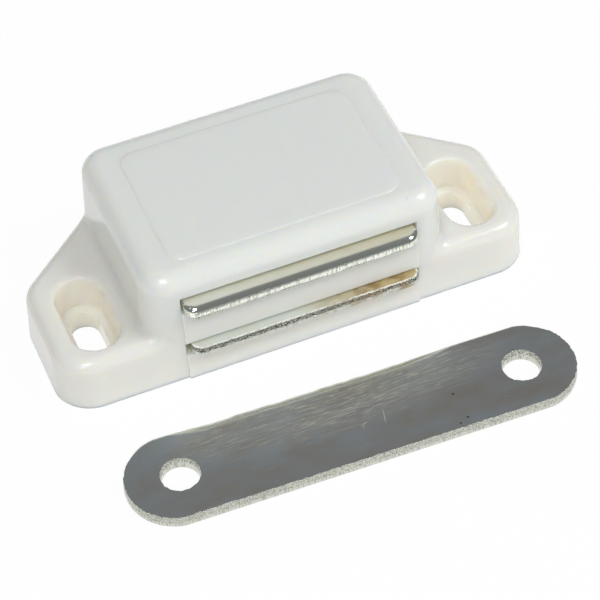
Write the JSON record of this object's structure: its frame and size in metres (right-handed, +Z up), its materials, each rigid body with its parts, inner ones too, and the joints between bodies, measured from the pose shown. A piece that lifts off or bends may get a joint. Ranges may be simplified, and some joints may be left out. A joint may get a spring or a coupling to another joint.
{
  "type": "magnetic catch",
  "caption": "Magnetic cupboard catch: white moulded housing with slotted screw ears, ferrite magnet between steel pole plates in a front mouth, and a loose striker plate.",
  "frame": {"origin": "middle of the housing's front edge, on the base that is screwed to the cupboard", "axes": "+X along the catch to the right seen from the mouth side, +Y from the mouth to the back, +Z up out of the base"},
  "size_m": [0.0584, 0.047, 0.0157],
  "materials": {
    "moulded_plastic": "glossy, slightly translucent white moulding",
    "plated_steel": "zinc-plated sheet with sheared edges",
    "ferrite": "matt sintered ferrite",
    "striker_steel": "dull grey zinc-plated sheet with lengthwise streaks"
  },
  "bodies": {
    "catch_housing": {"housing": "moulded_plastic", "striker_plate": "striker_steel"},
    "magnet_pack": {"magnet": "ferrite", "upper_pole_plate": "plated_steel", "lower_pole_plate": "plated_steel"}
  },
  "joints": [
    {"name": "pack_float", "type": "slide", "parent": "catch_housing", "child": "magnet_pack", "axis": [0, 1, 0], "range_m": [0, 0.0005]}
  ]
}
